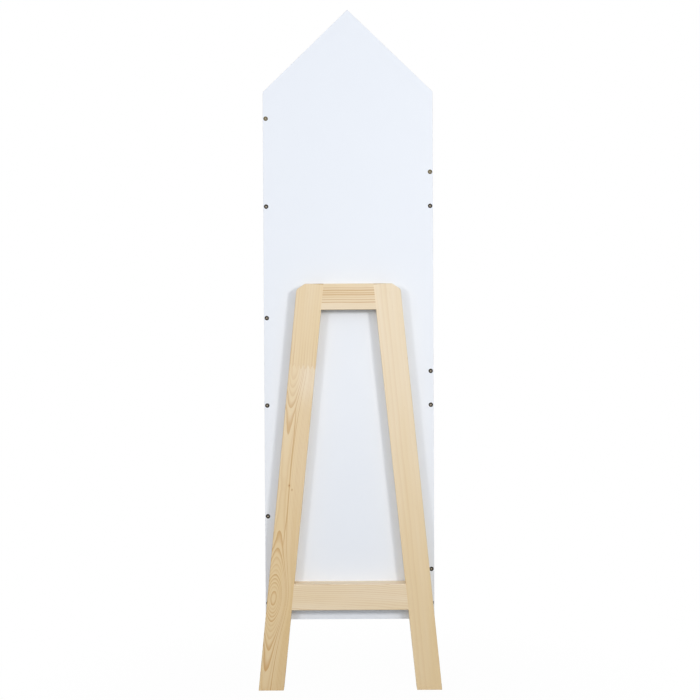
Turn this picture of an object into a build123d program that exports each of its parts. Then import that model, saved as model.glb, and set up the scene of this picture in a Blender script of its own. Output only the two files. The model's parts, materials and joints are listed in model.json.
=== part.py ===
# House-shaped bookshelf for a child's room, in millimetres.
#
# A tall back panel with a gable carries three book pockets on its front and a
# splayed pine frame on its back. The panel leans back a little, so that books
# lie against it and the shelf's weight comes over its two feet.
#
# +Z is up and the pockets face -Y. The origin is on the floor, halfway between
# the feet and halfway through the depth. Left and right are those of someone
# who stands in front of the pockets, so right is +X.

import os
from math import cos, radians, sin, tan

from build123d import *

# Back panel
panel_width = 300.0
panel_thickness = 10.0
eaves_margin = 17.5  # from the top pocket's tall end up to the eaves
roof_pitch = 43.9  # degrees above the horizontal
ground_gap = 120.0  # from the floor to the panel's bottom edge
lean = 3.0  # degrees back from upright

# Book pockets, one on each tier
tier_names = ("lower", "middle", "upper")
tier_pitch = 352.0
board_thickness = 10.0  # cheeks and shelves
front_thickness = 6.0
pocket_depth = 60.0  # clear room for books, front to back
tall_cheek_height = 213.0  # on the right
short_cheek_height = 118.0  # on the left
edge_round = 0.6  # sanded edges of the painted boards

# Joints between the boards
housing_depth = 3.0  # how far a shelf's ends are let into the cheeks
tongue_width = 3.0  # on a cheek's front edge, glued into the front board
tongue_depth = 3.0
tongue_stop = 8.0  # from a cheek's ends to the tongue's

# Pine frame
stock_width = 46.2  # of the rails and of the legs at the top
foot_width = 43.8  # of the legs at the floor
stock_thickness = 28.0
splay = 5.7  # degrees between a leg's outer edge and the centre line
foot_spread = 323.0  # over both feet, at the floor
frame_height = 715.5
lower_rail_rise = 142.0  # from the floor to the rail's underside
corner_cut_across = 14.0  # at the outer top corner of each leg
corner_cut_down = 10.0
corner_round = 7.0
arris_round = 1.5  # planed edges of the legs
rail_arris_round = 2.2  # and of the rails

# Fixings
screw_diameter = 4.0
screw_head_diameter = 8.0
screw_length = 30.0
screw_tip_length = 4.0
screw_point_diameter = 0.8
countersink_angle = 90.0
cheek_screw_margin = 29.0  # from a cheek's end to its nearest screw
leg_screw_rise = 110.0  # above a tier's base, through the panel into the legs
top_rail_screw_gap = 36.0
lower_rail_screw_gap = 120.0
dowel_diameter = 8.0
dowel_length = 40.0
dowel_gap = 24.0  # between the two dowels of one joint
dowel_facets = 12  # sides of each screw and dowel, and of the holes that grip them
fit = 0.05  # all round each screw, dowel and tongue
hole_spare = 0.5  # beyond each end of a dowel and beyond a screw's tip

# Worked out from the sizes above
half_width = panel_width / 2
inner_half_width = half_width - board_thickness
cheek_middle = half_width - board_thickness / 2
tier_bases = [ground_gap + tier_pitch * tier for tier in range(len(tier_names))]
eaves_rise = tier_bases[-1] + tall_cheek_height + eaves_margin
apex_rise = eaves_rise + half_width * tan(radians(roof_pitch))
front_slope = (tall_cheek_height - short_cheek_height) / panel_width
pocket_back = panel_thickness
pocket_front = pocket_back + pocket_depth
top_run = stock_width / cos(radians(splay))  # a leg's width along a level line, at its top
foot_run = foot_width / cos(radians(splay))  # and at the floor
top_rail_rise = frame_height - stock_width
top_rail_middle = frame_height - stock_width / 2
lower_rail_middle = lower_rail_rise + stock_width / 2
head_depth = (screw_head_diameter - screw_diameter) / 2 / tan(radians(countersink_angle / 2))

# The board plane is the panel's back face: X across, its Y up the panel, and its
# normal out of the front. It stands so that the whole depth is centred on the origin.
lean_cos = cos(radians(lean))
lean_sin = sin(radians(lean))
frame_reach = stock_thickness * lean_cos + frame_height * lean_sin
front_reach = (pocket_front + front_thickness) * lean_cos - ground_gap * lean_sin
back_reach = max(frame_reach, apex_rise * lean_sin)
board = Plane(
    origin=(0, (front_reach - back_reach) / 2, 0),
    x_dir=(1, 0, 0),
    z_dir=(0, -lean_cos, lean_sin),
)
up_board = Axis(board.origin, board.y_dir)
out_of_board = Axis(board.origin, board.z_dir)


def leg_outer(rise):
    """Half the frame's width over its legs, at a height up the board."""
    return foot_spread / 2 - rise * tan(radians(splay))


def leg_run(rise):
    """Width of a leg along a level line. It tapers evenly from the top to the foot."""
    return foot_run + (top_run - foot_run) * rise / frame_height


def leg_inner(rise):
    """Half the clear width between the legs, at a height up the board."""
    return leg_outer(rise) - leg_run(rise)


def leg_middle(rise):
    """Distance from the centre line to the middle of a leg."""
    return leg_outer(rise) - leg_run(rise) / 2


def pocket_top(base, across):
    """Height of a pocket's sloping top edge, at a distance across the board."""
    return base + short_cheek_height + front_slope * (across + half_width)


def seat(across, rise, out, looking):
    """A plane at a point given in the board's terms, its normal the way a fixing looks."""
    return Plane(board.from_local_coords((across, rise, out)), z_dir=looking)


def cheek_screw_seats(side, base, height):
    """Seats of a cheek's two screws, whose heads look out of the panel's back."""
    return [
        seat(side * cheek_middle, rise, 0, -board.z_dir)
        for rise in (base + cheek_screw_margin, base + height - cheek_screw_margin)
    ]


def frame_screw_seats(distances, rise):
    """Seats of a pair of screws, whose heads look out of the panel's front."""
    return [seat(across, rise, panel_thickness, board.z_dir) for across in distances]


def dowel_seats(side, rail_middle):
    """Seats of the two dowels between one end of a rail and its leg."""
    return [
        seat(side * leg_inner(rise), rise, -stock_thickness / 2, board.x_dir)
        for rise in (rail_middle - dowel_gap / 2, rail_middle + dowel_gap / 2)
    ]


def countersink(seats):
    """Cut the coned holes through the panel that take the screws' heads."""
    with Locations(*seats):
        CounterSinkHole(
            screw_diameter / 2 + fit,
            screw_head_diameter / 2 + fit,
            depth=2 * panel_thickness,
            counter_sink_angle=countersink_angle,
        )


def cut_pilots(seats):
    """Cut the holes that the screws' shanks fill, measured from the heads' faces."""
    with BuildSketch(*seats) as holes:
        RegularPolygon(screw_diameter / 2 + fit, dowel_facets, major_radius=False)
    extrude(holes.sketch, amount=-(screw_length + hole_spare), mode=Mode.SUBTRACT)


def cut_dowel_holes(seats):
    """Cut the piece's share of each dowel's hole, both ways from the joint."""
    with BuildSketch(*seats) as holes:
        RegularPolygon(dowel_diameter / 2 + fit, dowel_facets, major_radius=False)
    extrude(
        holes.sketch, amount=dowel_length / 2 + hole_spare, both=True, mode=Mode.SUBTRACT
    )


def draw_tongue(side, base, grow=0.0):
    """Draw a cheek's tongue as it looks from the front, grown all round for its groove."""
    foot = base + tongue_stop
    head = pocket_top(base, side * inner_half_width) - tongue_stop
    with Locations((side * cheek_middle, (foot + head) / 2)):
        Rectangle(tongue_width + 2 * grow, head - foot + 2 * grow)


pieces = {}

cheeks = []
for tier, base in zip(tier_names, tier_bases):
    cheeks.append((f"{tier}_tall_cheek", 1, base, cheek_screw_seats(1, base, tall_cheek_height)))
    cheeks.append((f"{tier}_short_cheek", -1, base, cheek_screw_seats(-1, base, short_cheek_height)))
leg_screws = {
    side: [
        screw_seat
        for base in tier_bases[:2]
        for screw_seat in frame_screw_seats(
            [side * leg_middle(base + leg_screw_rise)], base + leg_screw_rise
        )
    ]
    for side in (-1, 1)
}
top_rail_screws = frame_screw_seats(
    (-top_rail_screw_gap / 2, top_rail_screw_gap / 2), top_rail_middle
)
lower_rail_screws = frame_screw_seats(
    (-lower_rail_screw_gap / 2, lower_rail_screw_gap / 2), lower_rail_middle
)
all_cheek_screws = [screw_seat for cheek in cheeks for screw_seat in cheek[3]]
all_frame_screws = leg_screws[-1] + leg_screws[1] + top_rail_screws + lower_rail_screws

# Back panel: a tall board with a gable, countersunk from behind for the cheeks
# and from the front for the pine frame
with BuildPart() as back_panel:
    with BuildSketch(board):
        with BuildLine():
            Polyline(
                (-half_width, ground_gap),
                (half_width, ground_gap),
                (half_width, eaves_rise),
                (0, apex_rise),
                (-half_width, eaves_rise),
                close=True,
            )
        make_face()
    extrude(amount=panel_thickness)
    fillet(back_panel.faces().filter_by(out_of_board).edges(), edge_round)
    countersink(all_cheek_screws + all_frame_screws)
pieces["back_panel"] = back_panel

# Shelves: each is let into the cheeks at both ends
for tier, base in zip(tier_names, tier_bases):
    with BuildPart() as shelf:
        with BuildSketch(board.offset(pocket_back)):
            with Locations((0, base + board_thickness / 2)):
                Rectangle(2 * (inner_half_width + housing_depth - fit), board_thickness)
        extrude(amount=pocket_depth)
    pieces[f"{tier}_shelf"] = shelf

# Cheeks: the top follows the pocket's slope, a housing takes the shelf's end,
# and a stopped tongue on the front edge holds the front board
for name, side, base, screw_seats in cheeks:
    inner = side * inner_half_width
    outer = side * half_width
    with BuildPart() as cheek:
        with BuildSketch(board.offset(pocket_back)):
            with BuildLine():
                Polyline(
                    (inner, base),
                    (outer, base),
                    (outer, pocket_top(base, outer)),
                    (inner, pocket_top(base, inner)),
                    close=True,
                )
            make_face()
        extrude(amount=pocket_depth)
        outer_side = cheek.faces().sort_by(Axis.X)[0 if side < 0 else -1]
        fillet(outer_side.edges().filter_by(out_of_board), edge_round)
        with BuildSketch(board.offset(pocket_back)):
            with Locations((inner, base + board_thickness / 2)):
                Rectangle(2 * housing_depth, board_thickness)
        extrude(amount=pocket_depth, mode=Mode.SUBTRACT)
        with BuildSketch(board.offset(pocket_front)):
            draw_tongue(side, base)
        extrude(amount=tongue_depth)
        cut_pilots(screw_seats)
    pieces[name] = cheek

# Front boards: the top edge slopes down from the tall cheek to the short one
for tier, base in zip(tier_names, tier_bases):
    with BuildPart() as front_board:
        with BuildSketch(board.offset(pocket_front)):
            with BuildLine():
                Polyline(
                    (-half_width, base),
                    (half_width, base),
                    (half_width, pocket_top(base, half_width)),
                    (-half_width, pocket_top(base, -half_width)),
                    close=True,
                )
            make_face()
        extrude(amount=front_thickness)
        fillet(front_board.faces().sort_by(out_of_board)[-1].edges(), edge_round)
        with BuildSketch(board.offset(pocket_front)):
            draw_tongue(-1, base, grow=fit)
            draw_tongue(1, base, grow=fit)
        extrude(amount=tongue_depth + fit, mode=Mode.SUBTRACT)
    pieces[f"{tier}_front_board"] = front_board

# Legs: planed pine, splayed and tapered, their outer top corners cut and rounded,
# and their feet sawn level with the floor. They are drawn long and sawn last.
cut_rise = frame_height - corner_cut_down
for name, side in (("left_leg", -1), ("right_leg", 1)):
    with BuildPart() as leg:
        with BuildSketch(board) as outline:
            with BuildLine():
                Polyline(
                    (side * leg_inner(-stock_width), -stock_width),
                    (side * leg_outer(-stock_width), -stock_width),
                    (side * leg_outer(cut_rise), cut_rise),
                    (side * (leg_outer(frame_height) - corner_cut_across), frame_height),
                    (side * leg_inner(frame_height), frame_height),
                    close=True,
                )
            make_face()
            crown = outline.vertices().sort_by(Axis.Y)[2:].sort_by(Axis.X)
            fillet(crown[1:] if side > 0 else crown[:-1], corner_round)
        extrude(amount=-stock_thickness)
        rim = leg.faces().sort_by(out_of_board)[0].edges()
        inner_arris = rim.sort_by(SortBy.LENGTH)[-2:].sort_by(Axis.X)[0 if side > 0 else -1]
        long_end = rim.sort_by(up_board)[0]
        fillet([edge for edge in rim if edge not in (inner_arris, long_end)], arris_round)
        split(bisect_by=Plane.XY, keep=Keep.TOP)
        cut_pilots(leg_screws[side])
        cut_dowel_holes(dowel_seats(side, top_rail_middle) + dowel_seats(side, lower_rail_middle))
    pieces[name] = leg

# Rails: their ends are cut to the splay and butt against the legs
for name, rise, middle, screw_seats in (
    ("top_rail", top_rail_rise, top_rail_middle, top_rail_screws),
    ("lower_rail", lower_rail_rise, lower_rail_middle, lower_rail_screws),
):
    with BuildPart() as rail:
        with BuildSketch(board):
            with BuildLine():
                Polyline(
                    (-leg_inner(rise), rise),
                    (leg_inner(rise), rise),
                    (leg_inner(rise + stock_width), rise + stock_width),
                    (-leg_inner(rise + stock_width), rise + stock_width),
                    close=True,
                )
            make_face()
        extrude(amount=-stock_thickness)
        rim = rail.faces().sort_by(out_of_board)[0].edges()
        fillet(rim.filter_by(Axis.X), rail_arris_round)
        cut_pilots(screw_seats)
        cut_dowel_holes(dowel_seats(-1, middle) + dowel_seats(1, middle))
    pieces[name] = rail

# One countersunk wood screw, its head's face at the origin and its point down -Z,
# built of flat faces from four rings of corners
screw_rings = [
    [
        Vector(radius, 0, height).rotate(Axis.Z, 360 * corner / dowel_facets)
        for corner in range(dowel_facets + 1)
    ]
    for radius, height in (
        (screw_head_diameter / 2, 0),
        (screw_diameter / 2, -head_depth),
        (screw_diameter / 2, screw_tip_length - screw_length),
        (screw_point_diameter / 2, -screw_length),
    )
]
screw_sides = [
    Face(Wire.make_polygon([above[k], above[k + 1], below[k + 1], below[k]]))
    for above, below in zip(screw_rings, screw_rings[1:])
    for k in range(dowel_facets)
]
screw_ends = [Face(Wire.make_polygon(ring[:-1])) for ring in (screw_rings[0], screw_rings[-1])]
screw = Solid(Shell(screw_sides + screw_ends))

for name, seats in (("cheek_screws", all_cheek_screws), ("frame_screws", all_frame_screws)):
    with BuildPart() as screws:
        with Locations(*seats):
            add(screw)
    pieces[name] = screws

# Dowels of the frame, two in each joint between a rail and a leg
with BuildPart() as rail_dowels:
    with BuildSketch(
        *[
            joint_seat
            for side in (-1, 1)
            for middle in (top_rail_middle, lower_rail_middle)
            for joint_seat in dowel_seats(side, middle)
        ]
    ):
        RegularPolygon(dowel_diameter / 2, dowel_facets)
    extrude(amount=dowel_length / 2, both=True)
pieces["rail_dowels"] = rail_dowels

os.makedirs("parts", exist_ok=True)
volume = 0.0
moment = Vector(0, 0, 0)
for name, piece in pieces.items():
    piece.part.label = name
    export_step(piece.part, f"parts/{name}.step")
    volume += piece.part.volume
    moment += piece.part.center(CenterOf.MASS) * piece.part.volume

balance = moment / volume
sole = pieces["right_leg"].faces().sort_by(Axis.Z)[0].bounding_box()
print(f"{len(pieces)} pieces, {volume / 1e6:.2f} litres")
print(f"balance point x {balance.X:.1f}, y {balance.Y:.1f}, z {balance.Z:.1f}")
print(f"feet from y {sole.min.Y:.1f} to {sole.max.Y:.1f}")
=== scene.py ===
# %% [markdown]
# # A house-shaped bookshelf, seen from behind
#
# A tall white board with a gable carries three book pockets on its front and a splayed pine
# stand on its back. The solids come from the CAD frame, at their real size, and none of them is
# moved or reshaped here. What Blender adds is the finish of each surface, the turned screws,
# whose cross recess and thread the solids leave out, and the light. The board leans back a
# little, so the first cell also reads the lean from the frame, and the grain of the wood is laid
# out in the board's own directions.

# %% Load the frame and read the board's directions
import json
from math import atan2, cos, degrees, pi, radians, sin

import bpy
import numpy as np
from mathutils import Matrix, Vector


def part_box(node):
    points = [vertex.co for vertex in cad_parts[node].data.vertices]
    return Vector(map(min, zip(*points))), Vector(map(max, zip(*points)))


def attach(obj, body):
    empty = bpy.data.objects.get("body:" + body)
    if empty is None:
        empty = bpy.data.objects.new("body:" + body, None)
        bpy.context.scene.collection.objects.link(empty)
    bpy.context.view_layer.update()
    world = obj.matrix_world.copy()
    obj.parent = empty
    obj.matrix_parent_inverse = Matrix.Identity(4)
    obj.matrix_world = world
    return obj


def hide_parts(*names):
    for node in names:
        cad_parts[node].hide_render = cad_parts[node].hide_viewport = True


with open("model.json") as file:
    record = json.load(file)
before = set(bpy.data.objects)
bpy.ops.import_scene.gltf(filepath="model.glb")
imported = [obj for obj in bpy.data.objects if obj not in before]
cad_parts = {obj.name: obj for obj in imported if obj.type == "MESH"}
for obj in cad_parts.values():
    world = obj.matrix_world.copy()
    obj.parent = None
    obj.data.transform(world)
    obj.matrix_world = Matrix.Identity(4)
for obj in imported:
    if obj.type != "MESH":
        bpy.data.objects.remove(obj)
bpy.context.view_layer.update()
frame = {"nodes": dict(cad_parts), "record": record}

mm = 0.001
mounts = {mount["name"]: mount for mount in frame["record"]["mounts"]}
across = Vector((1, 0, 0))
backwards = Vector(mounts["frame_back"]["axis"]).normalized()
up_board = across.cross(backwards)
lean = atan2(up_board.y, up_board.z)
print(f"{len(frame['nodes'])} nodes; the board leans back {degrees(lean):.1f} degrees")

# %% [markdown]
# ## Formulas for shader nodes
#
# A wood or paint pattern is a formula of the place on the object. In Blender such a formula is
# a net of small nodes, one for each plus or times. Drawn by hand the net hides the idea, so
# this cell makes a wire that understands the usual signs: `u * 2 + v` adds a multiply node
# and an add node. The patterns below can then be read as the sums that they are.

# %% A wire that adds and multiplies


def new_node(tree, kind, **settings):
    """Add a node of a kind and give it its settings."""
    node = tree.nodes.new(kind)
    for setting, value in settings.items():
        setattr(node, setting, value)
    return node


def connect(tree, value, socket):
    """Lead a wire into a socket, or set the socket to a plain value."""
    if isinstance(value, Wire):
        tree.links.new(value.socket, socket)
    else:
        socket.default_value = value


class Wire:
    """One output of a node. Its signs add Math nodes to the same tree."""

    def __init__(self, tree, socket):
        self.tree = tree
        self.socket = socket

    def math(self, operation, *others):
        """The result of a Math node that takes this wire first and the others after it."""
        node = new_node(self.tree, "ShaderNodeMath", operation=operation)
        for value, socket in zip((self, *others), node.inputs):
            connect(self.tree, value, socket)
        return Wire(self.tree, node.outputs[0])

    def __add__(self, other):
        return self.math("ADD", other)

    def __sub__(self, other):
        return self.math("SUBTRACT", other)

    def __mul__(self, other):
        return self.math("MULTIPLY", other)

    def __truediv__(self, other):
        return self.math("DIVIDE", other)

    def __rsub__(self, other):
        return self * -1 + other

    def __rtruediv__(self, other):
        return self.math("POWER", -1.0) * other

    __radd__ = __add__
    __rmul__ = __mul__

    def ease(self, start, end):
        """0 up to start, 1 from end on, and a smooth step between them."""
        node = new_node(self.tree, "ShaderNodeMapRange", interpolation_type="SMOOTHSTEP")
        for value, socket in zip((self, start, end), node.inputs):
            connect(self.tree, value, socket)
        return Wire(self.tree, node.outputs[0])

    def bell(self, centre, reach):
        """A Lorentz bell: one over one plus the square of the distance in reaches."""
        distance = (self - centre) / reach
        return 1 / (distance * distance + 1)


# %% [markdown]
# A place is a vector of three numbers. Split, it gives three wires to reckon with. Joined again
# it can be read by noise, and if one of its numbers is squeezed first, the noise is drawn out
# in that direction. That is how the fibres of the wood are made further down.

# %% Places, noise and chance


def split(wire):
    """The three numbers of a vector."""
    node = new_node(wire.tree, "ShaderNodeSeparateXYZ")
    connect(wire.tree, wire, node.inputs[0])
    return [Wire(wire.tree, output) for output in node.outputs]


def join(tree, x, y, z):
    """A vector of three numbers."""
    node = new_node(tree, "ShaderNodeCombineXYZ")
    for value, socket in zip((x, y, z), node.inputs):
        connect(tree, value, socket)
    return Wire(tree, node.outputs[0])


def noise(place, scale=1.0, detail=2.0):
    """Smooth noise from about -1 to 1, with 0 as its middle."""
    node = new_node(place.tree, "ShaderNodeTexNoise")
    connect(place.tree, place, node.inputs["Vector"])
    node.inputs["Scale"].default_value = scale
    node.inputs["Detail"].default_value = detail
    return (Wire(place.tree, node.outputs[0]) - 0.5) * 2


def chance(number):
    """An even random number from 0 to 1, the same for the same whole number."""
    node = new_node(number.tree, "ShaderNodeTexWhiteNoise", noise_dimensions="1D")
    connect(number.tree, number, node.inputs["W"])
    return Wire(number.tree, node.outputs[0])


# %% [markdown]
# A colour is judged on a screen, from 0 to 255, but Blender reckons with light, and the two don't
# rise together: a screen grey of 188 is half the light of white. So every colour is written
# as it is seen and is turned into light at once.

# %% Colours, bumps and new materials


def paint(red, green, blue):
    """A colour as a screen shows it, from 0 to 255, turned into light for a socket."""
    screen = np.array((red, green, blue)) / 255
    light = np.where(screen <= 0.04045, screen / 12.92, ((screen + 0.055) / 1.055) ** 2.4)
    return (*light, 1.0)


def blend(share, first, second):
    """A colour between two: the first at share 0, the second at share 1."""
    node = new_node(share.tree, "ShaderNodeMix", data_type="RGBA")
    share_socket, first_socket, second_socket = 0, 6, 7
    connect(share.tree, share, node.inputs[share_socket])
    connect(share.tree, first, node.inputs[first_socket])
    connect(share.tree, second, node.inputs[second_socket])
    return Wire(share.tree, node.outputs[2])


def scaled(colour, factor):
    """A colour with its light multiplied by a number."""
    node = new_node(colour.tree, "ShaderNodeVectorMath", operation="SCALE")
    connect(colour.tree, colour, node.inputs[0])
    connect(colour.tree, factor, node.inputs["Scale"])
    return Wire(colour.tree, node.outputs[0])


def bump(height, strength, distance):
    """A surface direction tilted by a height that is given from 0 to 1."""
    node = new_node(height.tree, "ShaderNodeBump")
    connect(height.tree, height, node.inputs["Height"])
    node.inputs["Strength"].default_value = strength
    node.inputs["Distance"].default_value = distance
    return Wire(height.tree, node.outputs[0])


def new_material(name):
    """A material with its shader, and the place on the object that its patterns read."""
    material = bpy.data.materials.new(name)
    material.use_nodes = True
    tree = material.node_tree
    place = Wire(tree, new_node(tree, "ShaderNodeTexCoord").outputs["Object"])
    return material, tree.nodes["Principled BSDF"], place


def dress(material, *names):
    """Give CAD nodes a material, through their objects' slots."""
    for name in names:
        frame["nodes"][name].material_slots[0].material = material
    print(f"{material.name}: {len(names)} nodes, {len(material.node_tree.nodes)} shader nodes")


half_light = 188
grey_light = paint(half_light, half_light, half_light)[0]
print(f"a screen grey of {half_light} is {grey_light:.2f} of the light of white")

# %% [markdown]
# ## White lacquer
#
# The boards are fibreboard under a cool white satin lacquer. A sprayed coat is never dead
# flat: it has a fine orange peel, its gloss drifts a little, and the cut edges drink more of
# it and stay duller and a touch warmer. All three come from the place on the board and from
# the way the face looks, so that one material serves the thirteen boards and no two are alike.

# %% The lacquer on the boards
lacquer_white = paint(236, 242, 251)
lacquer_on_edges = paint(233, 236, 242)
face_roughness = 0.48
edge_roughness = 0.6
peel_size = 2.2 * mm

lacquer, shader, place = new_material("white_lacquer")
tree = lacquer.node_tree
facing = Wire(tree, new_node(tree, "ShaderNodeNewGeometry").outputs["Normal"])
facing_back = new_node(tree, "ShaderNodeVectorMath", operation="DOT_PRODUCT")
connect(tree, facing, facing_back.inputs[0])
facing_back.inputs[1].default_value = backwards
on_face = Wire(tree, facing_back.outputs["Value"]).math("ABSOLUTE").ease(0.6, 0.95)
cloud = noise(place, scale=7, detail=3)
gloss_drift = noise(place, scale=30, detail=2)
peel = noise(place, scale=1 / peel_size, detail=1)
coat = scaled(blend(on_face, lacquer_on_edges, lacquer_white), cloud * 0.012 + 1)
roughness = edge_roughness - on_face * (edge_roughness - face_roughness) + gloss_drift * 0.05
connect(tree, coat, shader.inputs["Base Color"])
connect(tree, roughness, shader.inputs["Roughness"])
connect(tree, bump(peel, strength=0.25, distance=0.05 * mm), shader.inputs["Normal"])
board_kinds = ("panel", "shelf", "cheek", "board")
dress(lacquer, *(name for name in frame["nodes"] if name.split("_")[-1] in board_kinds))

# %% [markdown]
# ## Pine
#
# Each stick of the stand is sawn out of a trunk, so the right pattern is the trunk itself: the
# distance from the pith, counted in growth rings. Across the ring the pale early wood darkens
# slowly into a thin line of late wood and then stops short. A flat face that passes the pith
# closely shows nested arches, and where the pith bends towards the face it shows an eye
# with arches pointing away from it both ways. A quarter-sawn face shows straight lines. Because
# the formula knows the depth too, the sides and the sawn feet get their true edge and end grain.
#
# The pattern starts from measures of the stand, most of them read from the frame. Side is 1 for
# the leg on the right of the pockets and -1 for the one on the left. The legs taper by a few
# millimetres, so one width and one slope stand for the whole of each, which is near enough for
# grain.

# %% Measures of the stand
rear = Vector(mounts["frame_back"]["pos_m"])
stand_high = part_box("left_leg")[1].z
foot = {side: Vector(mounts[name]["pos_m"]) for side, name in ((-1, "left_foot"), (1, "right_foot"))}
stock = 46 * mm
splay = radians(5.6)
leg_length = stand_high / cos(lean) / cos(splay)


def to_rear(place):
    """The nearest point to a place in the plane of the stand's back faces."""
    return place + backwards * (rear - place).dot(backwards)


foot_rear = {side: to_rear(place) for side, place in foot.items()}
print(f"feet {foot[1].x / mm:.1f} mm out, stand {stand_high / mm:.0f} mm tall")
print(f"legs {leg_length / mm:.0f} mm long")

# %% [markdown]
# Each stick has directions of its own, so a place is first turned into the stick's: u across
# the grain, v along it and w into the wood. Then the rings can be counted and drawn.

# %% Places inside a stick of wood


def wood_place(place, origin, crosswise, lengthwise):
    """Turn a place on the object into one in the wood: across the grain, along it, and into the
    stick from its back face. It is the place less the origin, measured along those directions."""
    axes = Matrix((crosswise, lengthwise, crosswise.cross(lengthwise))).transposed()
    node = new_node(place.tree, "ShaderNodeMapping", vector_type="TEXTURE")
    connect(place.tree, place, node.inputs["Vector"])
    node.inputs["Location"].default_value = origin
    node.inputs["Rotation"].default_value = axes.to_euler()
    return split(Wire(place.tree, node.outputs[0]))


def grain_noise(u, v, w, crosswise, lengthwise, detail=1.0):
    """Noise with so many clouds a metre across the grain and so many along it."""
    return noise(join(u.tree, u * crosswise, v * lengthwise, w * crosswise), detail=detail)


def ring_count(u, v, w, ring, pith, depth, eyes=(), slope=0.0, sway=2.0 * mm):
    """How many rings lie between the pith and a place: the root of across squared plus depth
    squared, over a ring's width. The pith's depth shrinks by a bell at each eye, and grows or
    shrinks along the grain by the slope. Slow noise bends the grain, quick noise roughens it, and
    a wobble between them keeps the rings from being perfect ovals."""
    quick_reach = 0.35 * mm
    wobble_beside, wobble_below = 0.7 * mm, 0.5 * mm
    slow = grain_noise(u, v, w, crosswise=14, lengthwise=5)
    quick = grain_noise(u, v, w, crosswise=160, lengthwise=14, detail=2)
    wobble = grain_noise(u, v, w, crosswise=60, lengthwise=32)
    depth_here = v * slope + depth
    for place_along, reach, rise in eyes:
        depth_here = depth_here - v.bell(place_along, reach) * rise
    beside = u - pith + slow * sway + quick * quick_reach + wobble * wobble_beside
    below = depth_here - w + slow * (sway * 0.5) + wobble * wobble_below
    return (beside * beside + below * below).math("SQRT") / ring


def late_wood(count, sharp=0.93):
    """The dark line of a ring: it grows slowly from the pale wood and stops short. Each ring
    has its own strength, drawn by its number."""
    whole = count.math("FLOOR")
    part = count - whole
    line = part.ease(0.3, sharp) * (1 - part.ease(sharp, 1.0))
    return line * (chance(whole + 0.5) * 0.75 + 0.25)


def thin_line(across_grain, half_width):
    """1 on a thin line along the grain, where the distance across it is nothing, and 0 from
    half a width away."""
    return 1 - across_grain.math("ABSOLUTE").ease(half_width * 0.35, half_width)


# %% [markdown]
# Over the rings lies what every planed stick shows: fine fibres, slow patches from pale to
# honey, short dark resin ducts, a knot here and there, and darker end grain where the saw went
# across. The arrises get a painted highlight, a little lighter colour. They are the same for all
# four sticks, so one function puts them on, and each stick only brings its own rings, warmth and knots.

# %% The colours and the finish of pine
pale_pine = paint(241, 227, 203)
honey_pine = paint(224, 196, 143)
late_pine = paint(199, 156, 100)
knot_brown = paint(160, 100, 58)
end_pine = paint(196, 165, 118)
late_share = 0.85
duct_share = 0.16
knot_glow = 0.35
knot_core = 0.75
end_share = 0.55
# How far painted shade darkens the wood.
painted_shade_share = 0.6


def finish_pine(shader, u, v, w, late, warmth, knots=(), ends=None, painted_shade=None):
    """Colour, gloss and relief of pine from its late wood. Warmth runs from pale to honey,
    fibres are noise drawn out along the grain, and a knot is a small dark bead with a glow, which
    ends a few millimetres below the back face. The arrises are painted a little lighter, a painted
    highlight. Painted shade darkens the colour where a mask is given, such as a rail's underside."""
    tree = u.tree
    fibre = grain_noise(u, v, w, crosswise=900, lengthwise=22, detail=2)
    patch = grain_noise(u, v, w, crosswise=40, lengthwise=4, detail=2)
    duct = grain_noise(u, v, w, crosswise=700, lengthwise=45, detail=0).ease(0.52, 0.62)
    colour = blend(warmth + patch * 0.3 + fibre * 0.06, pale_pine, honey_pine)
    colour = blend(late * late_share, colour, late_pine)
    colour = blend(duct * duct_share, colour, late_pine)
    for knot_across, knot_along, size in knots:
        aside, along = u - knot_across, v - knot_along
        ring = (aside * aside + along * along * 0.5 + w * w * 0.3).math("SQRT")
        colour = blend((1 - ring.ease(size, size * 3.2)) * knot_glow, colour, late_pine)
        colour = blend((1 - ring.ease(size * 0.5, size)) * knot_core, colour, knot_brown)
    if ends is not None:
        colour = blend(ends * end_share, colour, end_pine)
    # The arris mask lightens the colour a little, a painted highlight, and makes the arris rougher.
    arris = u.math("ABSOLUTE").ease(stock / 2 - 1.6 * mm, stock / 2 - 0.4 * mm)
    colour = scaled(colour, fibre * 0.02 + arris * 0.03 + 1)
    # Painted shade: the colour darkens where the shade mask is 1, as on a rail's underside.
    if painted_shade is not None:
        colour = scaled(colour, 1 - painted_shade * painted_shade_share)
    relief = late * 0.5 + fibre * 0.22 - duct * 0.3
    connect(tree, colour, shader.inputs["Base Color"])
    connect(tree, fibre * 0.05 - late * 0.1 + arris * 0.06 + 0.5, shader.inputs["Roughness"])
    connect(tree, bump(relief, strength=0.35, distance=0.12 * mm), shader.inputs["Normal"])
    shader.inputs["Specular IOR Level"].default_value = 0.35


print(f"early wood has {pale_pine[1]:.2f} of the green light of white, late wood {late_pine[1]:.2f}")
# %% [markdown]
# ## The legs
#
# The leg on the left of the picture has the liveliest grain. Its upper piece is plain and
# straight, and a finger joint ties it to a lower piece that comes close to the pith twice: once
# right under the joint and once above the foot, with long arches between. A thin resin line
# runs down its middle past a pin knot. The other leg is paler and almost plain.

# %% Places, teeth and ends of a leg


def leg_place(place, side):
    """Wood directions of a leg: across it, up along it, and in from its back face."""
    lengthwise = up_board * cos(splay) - across * (side * sin(splay))
    crosswise = across * cos(splay) + up_board * (side * sin(splay))
    return wood_place(place, foot_rear[side], crosswise, lengthwise)


def zigzag(u, pitch, height):
    """The teeth of a finger joint across a face, as a triangle wave."""
    return (u / pitch).math("PINGPONG", 1.0) * height


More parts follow.
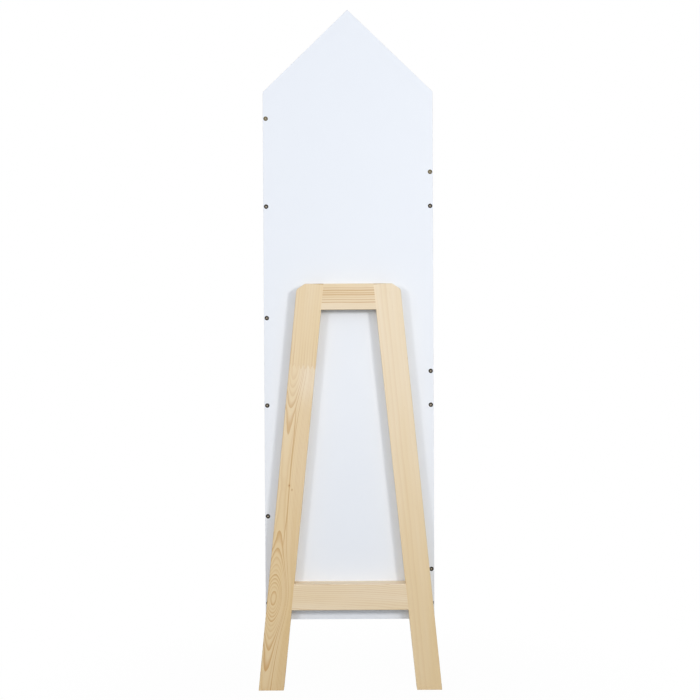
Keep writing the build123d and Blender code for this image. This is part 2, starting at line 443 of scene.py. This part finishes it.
def sawn_ends(place, v):
    """1 on the sawn ends of a leg: near the floor and near its top."""
    start, reach = 0.2 * mm, 1.2 * mm
    height = split(place)[2]
    top = v.ease(leg_length - reach, leg_length - start)
    return (1 - height.ease(start, reach)).math("MAXIMUM", top)


# %% [markdown]
# An eye is given by how far up the leg it lies, how far its bell reaches and how far it lifts the
# pith. The teeth of the finger joint zigzag across the face, and past them the count starts
# anew with a pith far to the side, which is why the upper piece looks straight.

# %% The rings of the lively leg, on the right of the pockets
pine_lively, shader, place = new_material("pine_lively")
u, v, w = leg_place(place, 1)
finger_joint = 573 * mm
foot_eye = (164 * mm, 49 * mm, 17.2 * mm)
joint_eye = (finger_joint, 60 * mm, 9.7 * mm)

lower_count = ring_count(
    u, v, w, ring=1.5 * mm, pith=11 * mm, depth=28.0 * mm, sway=3 * mm, eyes=(foot_eye, joint_eye)
)
upper_count = ring_count(u, v, w, ring=4.6 * mm, pith=75 * mm, depth=20 * mm) + 40
past_joint = v - zigzag(u, pitch=4 * mm, height=9 * mm) - (finger_joint - 4.5 * mm)
upper = past_joint.ease(-0.5 * mm, 0.5 * mm)
print(f"the finger joint is {finger_joint / mm:.0f} mm up the leg, the lower eye {foot_eye[0] / mm:.0f} mm")

# %% [markdown]
# The two pieces now have their rings. The rings grow fainter up the lower piece, and are strong
# in the upper one only just above the joint. The dark line of the joint's glue and the
# resin line count as late wood too, because they have the same colour. The leg is warmest and
# darkest at its foot, partly its own tone and partly painted shade for the dimmer light low on
# the board, and one side under the joint is paler.

# %% The lines and the warmth of the lively leg
resin_side = 1.5 * mm
big_knot = (resin_side, 363 * mm, 1.2 * mm)
small_knot = (-4 * mm, 356 * mm, 0.8 * mm)

calm = 1 - v.ease(200 * mm, 350 * mm) * 0.28
near_joint = 1 - v.ease(580 * mm, 640 * mm)
lower_late = late_wood(lower_count) * calm * (1 - upper)
upper_late = late_wood(upper_count) * upper * (near_joint * 0.35 + 0.22)
resin_wander = noise(join(u.tree, v * 7, 0.0, 0.0), detail=1) * (4 * mm)
resin_run = v.ease(200 * mm, 300 * mm) * (1 - v.ease(460 * mm, 530 * mm))
resin = thin_line(u - resin_wander - resin_side, 1 * mm) * resin_run
glue = 1 - past_joint.math("ABSOLUTE").ease(0.2 * mm, 0.9 * mm)
late = (lower_late + upper_late).math("MAXIMUM", resin * 0.9).math("MAXIMUM", glue * 0.3)

# Paler up the leg, darker and warmer at the foot: partly the wood's tone, partly painted shade.
cooling = v.ease(100 * mm, 620 * mm) * 0.3 + v.ease(600 * mm, 720 * mm) * 0.1
pale_side = v.ease(490 * mm, 550 * mm) * (1 - u.ease(-6 * mm, 8 * mm)) * (1 - upper)
warmth = 0.78 - cooling + upper * 0.07 - pale_side * 0.35
finish_pine(
    shader, u, v, w, late, warmth, knots=(big_knot, small_knot), ends=sawn_ends(place, v)
)
dress(pine_lively, "right_leg")

# %% [markdown]
# The other leg is cut far from its pith, and its wide rings leave only faint lines. It too is
# warmer and darker at the foot, partly its own tone and partly painted shade, and it has one pin
# knot close to its outer arris.

# %% The plain leg, on the left of the pockets
pine_plain, shader, place = new_material("pine_plain")
u, v, w = leg_place(place, -1)
pin_knot = (-21 * mm, 584 * mm, 0.7 * mm)
plain_count = ring_count(u, v, w, ring=8 * mm, pith=95 * mm, depth=30 * mm, sway=5 * mm)
late = late_wood(plain_count) * 0.16
# Darker and warmer at the foot: partly the wood's tone, partly painted shade.
warmth = 0.7 - v.ease(0.0, 750 * mm) * 0.55
finish_pine(shader, u, v, w, late, warmth, knots=(pin_knot,), ends=sawn_ends(place, v))
dress(pine_plain, "left_leg")

# %% [markdown]
# ## The rails
#
# Both rails run from leg to leg. The top one is quarter-sawn and shows straight close lines
# with one warmer band, and the lower one is plain with a faint wave. On a rail the grain runs
# across the picture, so the same formula is simply laid on its side. Both get painted shade
# along their lower edge and underside.

# %% Places and the painted shade on a rail's lower edge


def rail_place(place, node):
    """Wood directions of a rail: up across it, along it to the picture's right, and in from
    its back face."""
    low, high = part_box(node)
    return wood_place(place, to_rear((low + high) / 2), up_board, -across)


def painted_underside_shade(u):
    """1 on the lower edge and underside of a rail, where painted shade darkens it."""
    return 1 - u.ease(0.1 * mm - stock / 2, 0.8 * mm - stock / 2)


# %% [markdown]
# A stripe of the top rail is given by its height over the rail's middle and by its strength.
# They waver together, because they are rings of one tree.

# %% The top rail
pine_striped, shader, place = new_material("pine_striped")
u, v, w = rail_place(place, "top_rail")
striped_count = ring_count(u, v, w, ring=2.6 * mm, pith=120 * mm, depth=15 * mm, sway=1 * mm)
band = u.bell(7 * mm, 4 * mm)
late = late_wood(striped_count) * (band * 0.2 + 0.25)
waver = u + noise(join(u.tree, v * 16, 3.0, 0.0), detail=1) * (0.8 * mm)
upper_lines = ((15.3 * mm, 0.6), (11.2 * mm, 0.95), (6.7 * mm, 0.7), (3.2 * mm, 0.9))
lower_lines = ((-0.9 * mm, 0.45), (-5.3 * mm, 0.7), (-9.7 * mm, 0.9))
for line_height, strength in upper_lines + lower_lines:
    late = late.math("MAXIMUM", thin_line(waver - line_height, 1.1 * mm) * strength)
warmth = band * 0.2 + 0.18 + u.ease(-14 * mm, 2 * mm) * 0.14
# The top rail's underside and lower edge get painted shade.
finish_pine(shader, u, v, w, late, warmth, painted_shade=painted_underside_shade(u))
dress(pine_striped, "top_rail")

# %% [markdown]
# The lower rail's pith lies below it and sinks gently away along it, so the faint rings leave
# its face at a long slant. Its top face is painted paler and cooler, a painted light from above.

# %% The lower rail
pine_faint, shader, place = new_material("pine_faint")
u, v, w = rail_place(place, "lower_rail")
faint_count = ring_count(u, v, w, ring=3 * mm, pith=-60 * mm, depth=45 * mm, slope=0.08, sway=4 * mm)
late = late_wood(faint_count) * 0.45
# The top face is painted paler and cooler, standing in for the light that falls on it from above.
painted_top_light = u.ease(stock / 2 - 1.5 * mm, stock / 2)
warmth = noise(place, scale=4, detail=1) * 0.1 + 0.31 - painted_top_light * 0.25
# The lower rail's lower edge gets painted shade.
finish_pine(shader, u, v, w, late, warmth, painted_shade=painted_underside_shade(u))
dress(pine_faint, "lower_rail")

# %% [markdown]
# ## Dowels
#
# The rails are pinned to the legs with turned birch dowels. Nothing of them shows while the
# stand is whole, but a shelf taken apart has them, so they get birch of their own.

# %% The dowels
birch, shader, place = new_material("birch")
u, v, w = wood_place(place, rear, up_board, -across)
fibre = grain_noise(u, v, w, crosswise=800, lengthwise=40, detail=2)
turned_birch = blend(fibre * 0.4 + 0.5, paint(224, 200, 160), paint(206, 176, 130))
connect(birch.node_tree, turned_birch, shader.inputs["Base Color"])
connect(birch.node_tree, fibre * 0.05 + 0.6, shader.inputs["Roughness"])
connect(birch.node_tree, bump(fibre, strength=0.3, distance=0.1 * mm), shader.inputs["Normal"])
dress(birch, "rail_dowels")

# %% [markdown]
# ## The screws
#
# A countersunk wood screw is a turned shape with two departures from round: the cross recess
# in its head and the thread on its shank. Both are easy to say as a height over the turned
# surface. So the screw is one grid, with rows from the middle of the head out over the rim and
# down to the point, and columns around it. The recess lowers the head's rows inside a cross, and
# the thread swells the shank's rows along a slanting line.

# %% The turned profile of a screw
head_radius = 4.0 * mm
shank_radius = 1.45 * mm
thread_radius = 1.95 * mm
thread_pitch = 1.9 * mm
screw_length = 30 * mm
point_length = 4 * mm
rim_height = 0.12 * mm
face_rows, shank_rows, tip_rows = 26, 110, 15


def screw_profile():
    """Radius and height of the rows: out over the flat face, round the rim, in down the cone,
    straight down the shank and in again to the point."""
    shank_end = screw_length - point_length
    face = np.linspace(0.06, 0.97, face_rows) * head_radius
    shank = np.linspace(head_radius - shank_radius, shank_end, shank_rows)
    point = np.linspace(0, 1, tip_rows + 1)[1:]
    tip = shank_radius * (1 - point * 0.97)
    radius = np.concatenate((face, [head_radius], np.full(shank_rows, shank_radius), tip))
    height = np.concatenate((np.zeros(face_rows), [-rim_height], -shank, -shank_end - point * point_length))
    return radius, height


print(f"a screw {screw_length / mm:.0f} mm long with a head of {2 * head_radius / mm:.0f} mm")

# %% [markdown]
# Both departures from round are made of soft steps, so that the light finds a small bevel on
# the edges of the recess and of the thread, as on a real pressed and rolled screw.

# %% The recess and the thread
plain_length = 9 * mm
thread_start = 2 * mm
arm_reach = 2.3 * mm
arm_half_width = 0.46 * mm
arm_blur = 0.14 * mm


def smooth_step(value):
    """0 below 0, 1 above 1, and three squares less two cubes between."""
    value = np.clip(value, 0, 1)
    return value * value * (3 - 2 * value)


def cross_arm(along, aside):
    """1 inside one arm of the cross, with a soft step at its end and its sides."""
    end = smooth_step((arm_reach - abs(along)) / arm_blur + 1)
    side = smooth_step((arm_half_width - abs(aside)) / arm_blur + 1)
    return end * side


def thread_height(radius, height, turn):
    """How far the thread stands out. Its wave rises once a pitch down the shank and once a turn
    around it, which makes a screw line, and it swells in from nothing below the plain part."""
    cone_height = head_radius - shank_radius
    started = smooth_step((-height - plain_length) / thread_start) * (height < -cone_height)
    wave = 1 - 2 * abs((height / thread_pitch + turn / (2 * pi)) % 1 - 0.5)
    swell = (thread_radius - shank_radius) * smooth_step(wave * 3 - 1.4) * started
    return swell * np.clip(radius / shank_radius, 0.2, 1)


# %% [markdown]
# Now the profile is carried round the axis, column by column, the recess and the thread are
# put on, and the grid is closed by a point at either end. A pale share goes along with every
# point: the middle of the head and the inside of the recess are painted pale.

# %% One screw, as a surface of rows and columns
columns = 48
recess_depth = 1.5 * mm
pale_middle_radius = 1.0 * mm


def screw_surface():
    """Points of one screw, its head's face at the origin looking along +Z, then the poles of
    its face and its point, and how pale each is painted."""
    profile_radius, profile_height = screw_profile()
    around = np.linspace(0, 2 * pi, columns, endpoint=False)
    radius, turn = np.meshgrid(profile_radius, around, indexing="ij")
    height = np.repeat(profile_height[:, None], columns, axis=1)

    x, y = radius * np.cos(turn), radius * np.sin(turn)
    on_face = height > -0.01 * mm
    cross = np.maximum(cross_arm(x, y), cross_arm(y, x)) * on_face
    sunk = cross * recess_depth * (1 - 0.75 * radius / arm_reach).clip(0.1)
    swollen = radius + thread_height(radius, height, turn)
    grid = np.stack((swollen * np.cos(turn), swollen * np.sin(turn), height - sunk), axis=-1)

    on_head = height > -0.2 * mm
    # The middle of the head and the inside of the recess are painted pale.
    pale_middle = np.clip(smooth_step(1.7 - radius / pale_middle_radius) + 0.5 * cross, 0, 1) * on_head
    poles = np.array(((0, 0, -recess_depth), (0, 0, -screw_length)))
    return np.concatenate((grid.reshape(-1, 3), poles)), np.append(pale_middle.ravel(), (1.0, 0.0))


def screw_faces(grid_points):
    """Quads between the rows and two fans at the poles, wound so that they face outwards."""
    here = np.arange(grid_points).reshape(-1, columns)
    beside = np.roll(here, -1, axis=1)
    quads = np.stack((here[:-1], here[1:], beside[1:], beside[:-1]), axis=-1).reshape(-1, 4)
    top, tip = grid_points, grid_points + 1
    top_fan = [(top, a, b) for a, b in zip(here[0].tolist(), beside[0].tolist())]
    tip_fan = [(tip, b, a) for a, b in zip(here[-1].tolist(), beside[-1].tolist())]
    return quads.tolist() + top_fan + tip_fan


screw_points, screw_pale_middle = screw_surface()
one_screw = screw_faces(len(screw_points) - 2)
print(f"one screw: {len(screw_points)} points, {len(one_screw)} faces")

# %% [markdown]
# The places of the screws are read from the solids. All heads of one kind lie in one plane,
# the furthest that their node reaches the way they look, so the points in that plane are the
# rims of the heads, and each rim's middle is a seat.

# %% Seat the screws where the solids have theirs
fresh_reach = 120 * mm
plane_slack = 0.02 * mm
rim_span = 2.2 * head_radius


def screw_seats(node, looking):
    """The middle of each head's rim, found among the node's furthest points along looking."""
    mesh = frame["nodes"][node].data
    points = np.empty(len(mesh.vertices) * 3, np.float32)
    mesh.vertices.foreach_get("co", points)
    points = points.reshape(-1, 3)
    reach = points @ np.array(looking)
    rims = points[reach > reach.max() - plane_slack]
    seats = []
    while len(rims):
        near = np.linalg.norm(rims - rims[0], axis=1) < rim_span
        seats.append((rims[near].min(axis=0) + rims[near].max(axis=0)) / 2)
        rims = rims[~near]
    return np.array(seats)


def turned_axes(looking, seats, seed):
    """Three axes for each screw: two across it, turned by an angle of its own, and the way
    that its head looks."""
    angles = np.random.default_rng(seed).uniform(0, 2 * pi, len(seats))[:, None]
    first = np.array(across)
    third = np.array(looking)
    x_axis = np.cos(angles) * first + np.sin(angles) * np.cross(third, first)
    y_axis = np.cross(third, x_axis)
    return np.stack((x_axis, y_axis, np.repeat(third[None], len(seats), axis=0)), axis=1)


def set_screws(name, node, looking, seed):
    """One mesh of all the screws of a node. Its points carry two attributes: how pale the
    middle of the head is painted, and 1 on the highest screws, which are of a fresher batch."""
    seats = screw_seats(node, looking)
    axes = turned_axes(looking, seats, seed)
    points = np.einsum("pk,skc->spc", screw_points, axes) + seats[:, None, :]
    count = len(screw_points)
    firsts = range(0, count * len(seats), count)
    mesh = bpy.data.meshes.new(name)
    mesh.from_pydata(
        points.reshape(-1, 3).tolist(), [],
        [[index + first for index in face] for first in firsts for face in one_screw],
    )
    rise = seats @ np.array(up_board)
    pale_middle_values = np.tile(screw_pale_middle, len(seats))
    freshness = np.repeat(rise > rise.max() - fresh_reach, count)
    for attribute, values in (("pale_middle", pale_middle_values), ("fresh", freshness)):
        layer = mesh.attributes.new(attribute, "FLOAT", "POINT")
        layer.data.foreach_set("value", values.astype(np.float32))
    mesh.shade_smooth()
    piece = bpy.data.objects.new(name, mesh)
    bpy.context.scene.collection.objects.link(piece)
    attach(piece, "root")
    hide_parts(node)
    print(f"{name}: {len(seats)} screws")
    return piece


cheek_screw_set = set_screws("cheek_screw_set", "cheek_screws", backwards, seed=4)
frame_screw_set = set_screws("frame_screw_set", "frame_screws", -backwards, seed=5)

# %% [markdown]
# ## Bronze plating
#
# The screws are dark bronze, and the middle of each head and its recess are painted pale. The
# highest ones are of a paler, more brassy batch. Both facts are stored with the points, as
# attributes, because they follow the surface and not the place in the room.

# %% The plating of the screws
bronze, shader, place = new_material("bronze_steel")
tree = bronze.node_tree
pale_middle = Wire(tree, new_node(tree, "ShaderNodeAttribute", attribute_name="pale_middle").outputs["Fac"])
fresh = Wire(tree, new_node(tree, "ShaderNodeAttribute", attribute_name="fresh").outputs["Fac"])
tarnish = noise(place, scale=900, detail=2)
dark = blend(tarnish * 0.5 + 0.5, paint(22, 18, 15), paint(40, 34, 28))
brassy = blend(tarnish * 0.5 + 0.5, paint(104, 96, 66), paint(130, 120, 86))
pale_middle_colour = paint(196, 186, 168)
plating = blend(fresh * 0.7, dark, brassy)
# The middle of each head is painted pale.
connect(tree, blend(pale_middle * 0.85, plating, pale_middle_colour), shader.inputs["Base Color"])
connect(tree, tarnish * 0.08 + 0.38, shader.inputs["Roughness"])
connect(tree, bump(tarnish, strength=0.2, distance=0.02 * mm), shader.inputs["Normal"])
shader.inputs["Metallic"].default_value = 0.2
shader.inputs["Specular IOR Level"].default_value = 0.3
for piece in (cheek_screw_set, frame_screw_set):
    piece.data.materials.append(bronze)
print(f"{bronze.name}: {len(tree.nodes)} shader nodes")

# %% [markdown]
# ## The studio
#
# The picture was taken in a white studio and its ground is pure white. The floor and the world
# are therefore white to the camera, while the light that the world gives the object is calm: an
# even level all round and a broad glow from straight behind and straight in front, which reaches
# into the corners beside the legs.

# %% The world around the shelf
even_light = 0.28
glow_light = 1.3
white = (1, 1, 1, 1)
cool_tint = (0.975, 1.0, 1.045, 1)


def white_to_camera(tree):
    """1 where a ray comes from the camera, or from a mirror or glass, else 0."""
    path = new_node(tree, "ShaderNodeLightPath")
    rays = ("Is Camera Ray", "Is Glossy Ray", "Is Transmission Ray")
    camera, mirror, glass = (Wire(tree, path.outputs[name]) for name in rays)
    return camera.math("MAXIMUM", mirror).math("MAXIMUM", glass)


world = bpy.data.worlds.new("studio")
bpy.context.scene.world = world
world.use_nodes = True
tree = world.node_tree
background = tree.nodes["Background"]
direction = Wire(tree, new_node(tree, "ShaderNodeTexCoord").outputs["Generated"])
_, front_to_back, _ = split(direction)
square = front_to_back * front_to_back
light = square * square * glow_light + even_light
seen = white_to_camera(tree)
connect(tree, seen * (1 - light) + light, background.inputs["Strength"])
connect(tree, blend(seen, cool_tint, white), background.inputs["Color"])
print(f"light from the side {even_light}, from front and back {even_light + glow_light:.2f}")

# %% [markdown]
# The floor is plain grey paint to the light and white to the camera. Near the object it keeps
# a small share of its own lit paint, so that a faint shadow of the feet stays on the ground.

# %% The floor
floor_half = 6.0
floor_grey = 0.5
shadow_share = 0.02
shadow_start, shadow_end = 150 * mm, 700 * mm

floor_mesh = bpy.data.meshes.new("floor")
corners = [(x * floor_half, y * floor_half, 0) for x, y in ((-1, -1), (1, -1), (1, 1), (-1, 1))]
floor_mesh.from_pydata(corners, [], [(0, 1, 2, 3)])
floor = bpy.data.objects.new("floor", floor_mesh)
bpy.context.scene.collection.objects.link(floor)

floor_paint, shader, place = new_material("floor_paint")
tree = floor_paint.node_tree
shader.inputs["Base Color"].default_value = (floor_grey, floor_grey, floor_grey, 1)
shader.inputs["Roughness"].default_value = 0.9
shader.inputs["Specular IOR Level"].default_value = 0.0
glow = new_node(tree, "ShaderNodeEmission")
either = new_node(tree, "ShaderNodeMixShader")
floor_x, floor_y, _ = split(place)
away = (floor_x * floor_x + floor_y * floor_y).math("SQRT").ease(shadow_start, shadow_end)
white_share = away * shadow_share + (1 - shadow_share)
connect(tree, white_to_camera(tree) * white_share, either.inputs[0])
tree.links.new(shader.outputs[0], either.inputs[1])
tree.links.new(glow.outputs[0], either.inputs[2])
tree.links.new(either.outputs[0], tree.nodes["Material Output"].inputs["Surface"])
floor_mesh.materials.append(floor_paint)
print(f"floor {2 * floor_half:.0f} m wide, {len(tree.nodes)} shader nodes")

# %% [markdown]
# A soft box stands on the right of the camera and a weaker one on the left, both a little above
# the top rail. That is why each leg throws a shadow to either side on the board, the one to
# the left is darker, and the lower rail's is the longest. The boxes are a shade warmer than the
# world, so the shadows are cool. A third box lights the pockets on the far side. The picture
# gets only a little of it, by way of the floor.

# %% The three lamps
warm_tint = (1.045, 1.0, 0.94)
target = Vector((0, 0, 620)) * mm


def soft_box(name, azimuth, elevation, distance, side, watts):
    """A square lamp that looks at the target. Azimuth turns from straight behind the board
    towards the right of the picture, and elevation lifts it."""
    direction = Vector((-sin(azimuth) * cos(elevation), cos(azimuth) * cos(elevation), sin(elevation)))
    lamp = bpy.data.lights.new(name, "AREA")
    lamp.size = side
    lamp.energy = watts
    lamp.color = warm_tint
    lamp_object = bpy.data.objects.new(name, lamp)
    lamp_object.location = target + direction * distance
    lamp_object.rotation_euler = direction.to_track_quat("Z", "Y").to_euler()
    bpy.context.scene.collection.objects.link(lamp_object)
    print(f"{name}: {watts} W, {lamp_object.location.z:.2f} m above the floor")


soft_box("key", radians(27), radians(8), distance=2.12, side=0.32, watts=12.0)
soft_box("fill", radians(-27), radians(8), distance=2.12, side=0.28, watts=6.7)
soft_box("pockets", radians(205), radians(22), distance=2.5, side=0.8, watts=26.0)

# %% [markdown]
# ## The camera
#
# The camera stands behind the board, a little over two metres off and below the board's middle,
# and looks almost level. That is why the lower rail shows a sliver of its top.

# %% The camera behind the shelf
picture_width = 700
focal_pixels = 1188
sensor = 36.0
eye = Vector((-2.1, 2137.0, 524.1)) * mm
upward = radians(2.01)
roll = radians(-0.28)
camera_data = bpy.data.cameras.new("camera")
camera_data.sensor_width = sensor
camera_data.lens = focal_pixels / picture_width * sensor
camera = bpy.data.objects.new("camera", camera_data)
camera.location = eye
face_board = Matrix.Rotation(pi, 4, "Z")
look_level = Matrix.Rotation(radians(90) + upward, 4, "X")
camera.rotation_euler = (face_board @ look_level @ Matrix.Rotation(roll, 4, "Z")).to_euler()
bpy.context.scene.collection.objects.link(camera)
bpy.context.scene.camera = camera
bpy.context.scene.view_settings.view_transform = "Standard"
print(f"focal length {camera_data.lens:.1f} mm")
